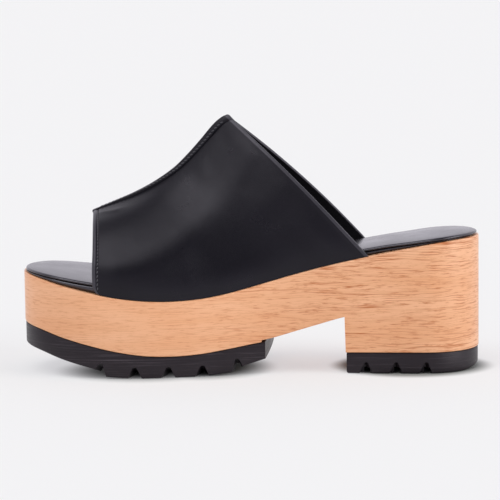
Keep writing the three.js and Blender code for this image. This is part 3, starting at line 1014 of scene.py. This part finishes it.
# Soft ridges and troughs of the worn leather. A line's points are (hoop, share of the girth)
folds = (
    {"line": ((-0.1, 0.17), (0.05, 0.2), (0.2, 0.26), (0.32, 0.34), (0.5, 0.45), (0.75, 0.51),
              (1, 0.54)), "width": 10, "out": 1.25},
    {"line": ((0.04, 0.85), (0.3, 0.88), (0.6, 0.89), (1.1, 0.89)), "width": 11, "out": -0.75},
    {"line": ((0.3, 0.12), (0.5, 0.2), (0.75, 0.24)), "width": 9, "out": -0.5},
    {"line": ((0.86, 0.66), (0.9, 0.8), (0.86, 0.93)), "width": 5, "out": -0.4},
    {"line": ((0.95, 0.52), (0.84, 0.47), (0.74, 0.44)), "width": 4, "out": -0.28},
    {"line": ((0.96, 0.38), (0.86, 0.35), (0.76, 0.34)), "width": 4.5, "out": 0.3},
    {"line": ((0.93, 0.24), (0.82, 0.26), (0.7, 0.25)), "width": 4, "out": -0.25},
    {"line": ((0.02, 0.86), (0.1, 0.8), (0.17, 0.78)), "width": 3, "out": 0.3},
    {"line": ((0.66, 0.62), (0.7, 0.7), (0.72, 0.8)), "width": 4, "out": 0.22},
)
foldPlan = {
    "size": (90.0, 85.0),  # the band's length and half its girth
    "steps": 24,
    "fade": (-0.15, 0.3),  # both ends of a line run out over this share of it
    "outer": 0.8,
}


def foldShape(hoop, turn, side):
    length, girth = foldPlan["size"]
    here = np.stack([hoop * length, turn / (math.pi / 2) * girth], -1)
    total, steps = 0 * hoop, foldPlan["steps"]
    for fold in folds:
        table = [(i, *spot) for i, spot in enumerate(fold["line"])]
        at = np.linspace(0, len(table) - 1, steps + 1)
        path = np.stack([column(table, 1)(at) * length, column(table, 2)(at) * girth], -1)
        nearest, reached = np.full(hoop.shape, 1e9), 0 * hoop
        for i, (start, stop) in enumerate(zip(path, path[1:])):
            way = stop - start
            t = np.clip((here - start) @ way / (way**2).sum(), 0, 1)
            away = ((here - start - t[..., None] * way) ** 2).sum(-1)
            reached = np.where(away < nearest, (i + t) / steps, reached)
            nearest = np.minimum(nearest, away)
        fade = ease(reached, *foldPlan["fade"]) * ease(1 - reached, *foldPlan["fade"])
        total = total + fold["out"] * np.exp(-nearest / fold["width"] ** 2) * fade
    return total * (1 if side < 0 else foldPlan["outer"])


def halfOutside(side):
    # one half of the band: its hoops, normals, plain form and worn outside
    hoops, turns, toToe, toCollar = sideGrid(side, skin["columns"])
    normal = bandNormal(hoops, np.maximum(turns, 0.02), side)
    normal[:, 0, 2] = 0
    normal = unit(normal)
    base = bandPoint(hoops, turns, side)
    shape = toeEdgeShape(toToe) + collarEdgeShape(toCollar) + foldShape(hoops, turns, side)
    shape = shape * ease(np.sin(turns), 0, 0.08)
    inward = ease(toToe, 0, skin["edgeKeep"]) * ease(toCollar, 0, skin["edgeKeep"])
    outer = base + normal * (shape + bellyShape(base) * inward)[..., None]
    return hoops, normal, base, outer


def bandSkin():
    # the whole outside with the raised seam, and the lining; rows are hoops, columns go across
    outsides, linings, lips, tops = [], [], [], []
    for side in (-1, 1):
        hoops, normal, base, outer = halfOutside(side)
        inner = base - normal * band["wall"]
        inner[:, 0, 2] = platformTop(shareAt(inner[:, 0, 0])) + sole["clearance"]
        atLip = turnAt(hoops[:, -1], side, band["seamHalfWidth"] * skin["seamTop"])
        raised = normal[:, -1] * band["seamRaise"]
        lip = bandPoint(hoops[:, -1], atLip, side) + raised
        foot = outer[:, -1]
        corner = foot + raised * 0.75 + (lip - foot) * 0.15
        outsides.append([outer[:, i] for i in range(skin["columns"] + 1)]
                        + [foot * 0.35 + corner * 0.65, (corner + lip) / 2])
        linings.append(inner)
        lips.append(lip)
        tops.append((hoops[:, -1], normal[:, -1]))
    ridge = bandPoint(tops[0][0], math.pi / 2, -1)
    upward = tops[0][1] + tops[1][1]
    upward[:, 1] = 0
    upward = unit(upward)
    # an arc from lip to lip through the seam's top
    left, right = lips
    control = 2 * (ridge + upward * band["seamRaise"]) - (left + right) / 2
    seam = [(1 - t) ** 2 * left + 2 * t * (1 - t) * control + t * t * right
            for t in np.linspace(0, 1, 2 * skin["seamColumns"] + 1)]
    outer = np.stack(outsides[0] + seam + outsides[1][::-1], 1)
    drop = band["wall"] / np.maximum((upward * tops[0][1]).sum(-1), 0.3)
    crown = ridge - upward * drop[:, None]
    return outer, np.concatenate([linings[0], crown[:, None], linings[1][:, ::-1]], 1)


def rimRows(edge, following, lining):
    # rounded rim from the outside's last row round to the lining, without both ends
    outward = unit(edge - following)
    half, middle = (edge - lining) / 2, (edge + lining) / 2
    bulge = outward * np.linalg.norm(half, axis=-1, keepdims=True) * skin["rim"]
    return [middle + half * math.cos(a) + bulge * math.sin(a)
            for a in np.linspace(0, math.pi, skin["rimRows"])[1:-1]]


def makeBand():
    outer, inner = bandSkin()
    rows, columns = outer.shape[:2]
    # the lining's points spread over the outside's columns, so that both rims close
    half, own = skin["columns"], np.linspace(0, 1, inner.shape[1])
    k = (half + 1) / columns
    place = np.interp(np.linspace(0, 1, columns), [0, k, 1 - k, 1],
                      [0, own[half], own[-half - 1], 1])
    lining = np.stack([
        np.stack([np.interp(place, own, row[:, axis]) for axis in range(3)], -1) for row in inner])
    toeRim = [lining[0], *rimRows(outer[0], outer[1], lining[0])[::-1]]
    collarRim = [*rimRows(outer[-1], outer[-2], lining[-1]), lining[-1]]
    sheet = np.stack([*toeRim, *outer, *collarRim])
    first, total, wide = len(toeRim), len(sheet), columns - 1
    points, faces = sheet.reshape(-1, 3), gridFaces(total, columns)
    # both rims and the first rows of the outside are the turned edge, material 1, whose lighter
    # colour is a painted highlight along the rounded fold
    turned = sum(row <= skin["turned"] for row in skin["edgeRows"])
    low, high = (first + turned) * wide, (total - 1 - first - turned) * wide
    kinds = [int(i < low or i >= high) for i in range(len(faces))]
    # closed underneath by a narrow strip to the lining's foot on either side and by four caps
    for edge in (0, wide):
        strip = np.stack([outer[:, edge], lining[:, edge]], 1)
        faces += gridFaces(rows, 2, len(points))
        points = np.vstack([points, strip.reshape(-1, 3)])
        for ends in (range(first + 1), range(total - first - 1, total)):
            faces.append(tuple(row * columns + edge for row in ends))
    kinds += [0] * (len(faces) - len(kinds))
    faces += gridFaces(rows, columns, len(points))
    points = np.vstack([points, lining.reshape(-1, 3)])
    kinds += [2] * (len(faces) - len(kinds))
    piece = makePiece("band_leather", points, faces, leather["band"], sharp=60, kinds=kinds)
    piece.data.materials.append(leather["edge"])
    piece.data.materials.append(leather["lining"])
    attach(piece, "root")
    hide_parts("upper")
    return piece


makeBand()
print("band made")

stitches = {
    "length": 1.65,
    "pitch": 2.25,
    "radius": 0.33,
    "sunk": 0.05,
    "slant": 0.5,
    "toeSlant": 0.3,
    "fromRidge": 1.4,
    "free": 4,  # rows without a stitch, counted from the inner end of each edge's rows
    "shape": (  # at, thickness
        (-0.5, 0.25),
        (-0.42, 0.8),
        (-0.2, 1),
        (0.2, 1),
        (0.42, 0.8),
        (0.5, 0.25),
    ),
}


def capsule(centre, along, up, length, radius):
    # one stitch, a little sunk at both ends
    side, around, points = np.cross(up, along), 6, []
    for t, thick in stitches["shape"]:
        middle = centre + along * (length * t) - up * (0.35 * radius * (2 * t) ** 2)
        for a in np.arange(around) * (2 * math.pi / around):
            points.append(middle + (side * math.cos(a) + up * math.sin(a)) * (radius * thick))
    rings = len(stitches["shape"])
    faces = [(k * around + i, k * around + (i + 1) % around,
              (k + 1) * around + (i + 1) % around, (k + 1) * around + i)
             for k in range(rings - 1) for i in range(around)]
    last = (rings - 1) * around
    faces += [tuple(range(around))[::-1], tuple(range(last, last + around))]
    return np.array(points), faces


def runStitches(path, normals, slant):
    # stitches at even steps along a path on the leather
    walked = np.r_[0, np.cumsum(np.linalg.norm(np.diff(path, axis=0), axis=1))]
    bodies = []
    for d in np.arange(stitches["pitch"], walked[-1] - stitches["pitch"] / 2, stitches["pitch"]):
        here, ahead = (
            np.array([np.interp(d + e, walked, path[:, k]) for k in range(3)]) for e in (-0.3, 0.3))
        up = unit(np.array([np.interp(d, walked, normals[:, k]) for k in range(3)]))
        along = unit(ahead - here)
        along = unit(along - up * (along @ up))
        along = unit(along + np.cross(up, along) * slant)
        centre = (here + ahead) / 2 + up * (stitches["radius"] * 0.4 - stitches["sunk"])
        bodies.append(capsule(centre, along, up, stitches["length"], stitches["radius"]))
    return bodies


def makeStitches():
    bodies, edge = [], np.array(skin["edgeRows"])
    row = int(np.argmin(abs(edge - skin["stitchLine"])))
    alongSeam = slice(len(edge) - stitches["free"], stitches["free"] - len(edge))
    for side in (-1, 1):
        hoops, normal, _, outer = halfOutside(side)
        path = outer[row] + normal[row] * skin["stitchDip"] * 0.35
        bodies += runStitches(path[2:-1], normal[row][2:-1], side * stitches["toeSlant"])
        off = turnAt(hoops[:, -1], side, stitches["fromRidge"])
        up = bandNormal(hoops[:, -1], off, side)
        path = bandPoint(hoops[:, -1], off, side) + up * band["seamRaise"]
        bodies += runStitches(path[alongSeam], up[alongSeam], side * stitches["slant"])
    points, faces = joined(bodies)
    piece = makePiece("band_stitches", points, faces, thread, sharp=70, weld=False)
    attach(piece, "root")
    return len(bodies)


print("stitches made:", makeStitches())

studio = {
    "floor": (0.335, 0.341, 0.322),
    "glow": (0.985, 0.975, 1.012),
    "floorGlow": 0.57,
    # painted shadows: under both soles the floor's glow fades out inside these ellipses
    "paintedShadowsUnderSoles": (  # centre, half sizes and where the glow sets in
        (-0.06, -0.016, 0.05, 0.043, 0.1),
        (-0.027, -0.008, 0.042, 0.044, 0.2),
        (0.0895, -0.001, 0.046, 0.041, 0.55)),
    "back": (0.93, 0.905, 0.985),  # light behind the shoe, over it and in front of it
    "over": (0.17, 0.165, 0.185),
    "frontLow": (0.76, 0.735, 0.805),
    "frontHigh": (0.15, 0.145, 0.162),
    "lamps": {
        "key": {"from": (-0.242, -0.346, 0.906), "power": 1.05, "spread": 44},
        "left": {"from": (-0.557, -0.557, 0.616), "power": 0.4, "spread": 44},
        "side": {"from": (0.86, -0.35, 0.375), "power": 1.4, "spread": 40},
    },
}


def makeFloor():
    material, net, shader = newMaterial("studio floor")
    setShader(shader, Base_Color=(*studio["floor"], 1), Roughness=0.9, Specular_IOR_Level=0.0,
              Emission_Color=(*studio["glow"], 1))
    # the floor's glow fades out under both soles: painted shadow there, on top of the real contact
    # shadows
    place = net.put("ShaderNodeSeparateXYZ", net.own())
    glowBesidePaintedShadows = None
    for x, y, reachX, reachY, start in studio["paintedShadowsUnderSoles"]:
        across = net.calc("DIVIDE", net.minus(place.outputs["X"], x), reachX)
        along = net.calc("DIVIDE", net.minus(place.outputs["Y"], y), reachY)
        away = net.plus(net.times(across, across), net.times(along, along))
        clear = net.ranged(away, start, 1.1, smooth=True)
        glowBesidePaintedShadows = net.calc("MINIMUM", glowBesidePaintedShadows, clear) if glowBesidePaintedShadows else clear
    net.link(net.times(glowBesidePaintedShadows, studio["floorGlow"]), shader.inputs["Emission Strength"])
    mesh = bpy.data.meshes.new("floor")
    reach, low = 60, -0.0002
    corners = [(x * reach, y * reach, low) for x, y in ((-1, -1), (1, -1), (1, 1), (-1, 1))]
    mesh.from_pydata(corners, [], [(0, 1, 2, 3)])
    mesh.materials.append(material)
    floor = bpy.data.objects.new("floor", mesh)
    bpy.context.scene.collection.objects.link(floor)


def makeRoom():
    world = bpy.data.worlds.new("studio")
    world.use_nodes = True
    net = Shading(world.node_tree)
    way = net.put("ShaderNodeSeparateXYZ", net.put("ShaderNodeTexCoord").outputs["Generated"])
    behind = net.ranged(way.outputs["Y"], -0.45, 0.3, smooth=True)
    over = net.ranged(way.outputs["Z"], 0.7, 0.95, smooth=True)
    high = net.ranged(way.outputs["Z"], 0.12, 0.5, smooth=True)
    front = net.mixColour(high, studio["frontLow"], studio["frontHigh"])
    low = net.mixColour(behind, front, studio["back"])
    net.link(net.mixColour(over, low, studio["over"]), net.nodes["Background"].inputs["Color"])
    bpy.context.scene.world = world


def addSun(name, lamp):
    data = bpy.data.lights.new(name, "SUN")
    data.energy = lamp["power"]
    data.angle = math.radians(lamp["spread"])
    sun = bpy.data.objects.new(name, data)
    bpy.context.scene.collection.objects.link(sun)
    sun.rotation_mode = "QUATERNION"
    sun.rotation_quaternion = Vector(lamp["from"]).to_track_quat("Z", "Y")


makeFloor()
makeRoom()
for lampName, lampLook in studio["lamps"].items():
    addSun(lampName, lampLook)
bpy.context.scene.view_settings.view_transform = "Standard"

# The camera stands where the photo was taken from, in degrees and in the sole's millimetres
view = {
    "azimuth": 4.0,
    "elevation": 7.0,
    "roll": 0.679285,
    "distance": 1300.0,
    "target": (-0.7235, 0.0, 64.917),
    "millimetresPerPixel": 0.561305,
    "pixels": 500,
    "sensor": 36.0,
}


def makeCamera():
    a, e, r = (math.radians(view[k]) for k in ("azimuth", "elevation", "roll"))
    back = Vector((math.sin(a) * math.cos(e), -math.cos(a) * math.cos(e), math.sin(e)))
    right = Vector((math.cos(a), math.sin(a), 0))
    up = back.cross(right)
    turnedRight = right * math.cos(r) - up * math.sin(r)
    turnedUp = right * math.sin(r) + up * math.cos(r)
    place = Vector(toRow([view["target"]])[0]) + back * (view["distance"] * mm)
    data = bpy.data.cameras.new("photo camera")
    data.sensor_width = view["sensor"]
    data.lens = view["distance"] / view["millimetresPerPixel"] / view["pixels"] * view["sensor"]
    data.clip_start, data.clip_end = 0.01, 200
    camera = bpy.data.objects.new("photo camera", data)
    bpy.context.scene.collection.objects.link(camera)
    turn = Matrix((turnedRight, turnedUp, back)).transposed().to_4x4()
    camera.matrix_world = Matrix.Translation(place) @ turn
    bpy.context.scene.camera = camera


makeCamera()
print("studio made")
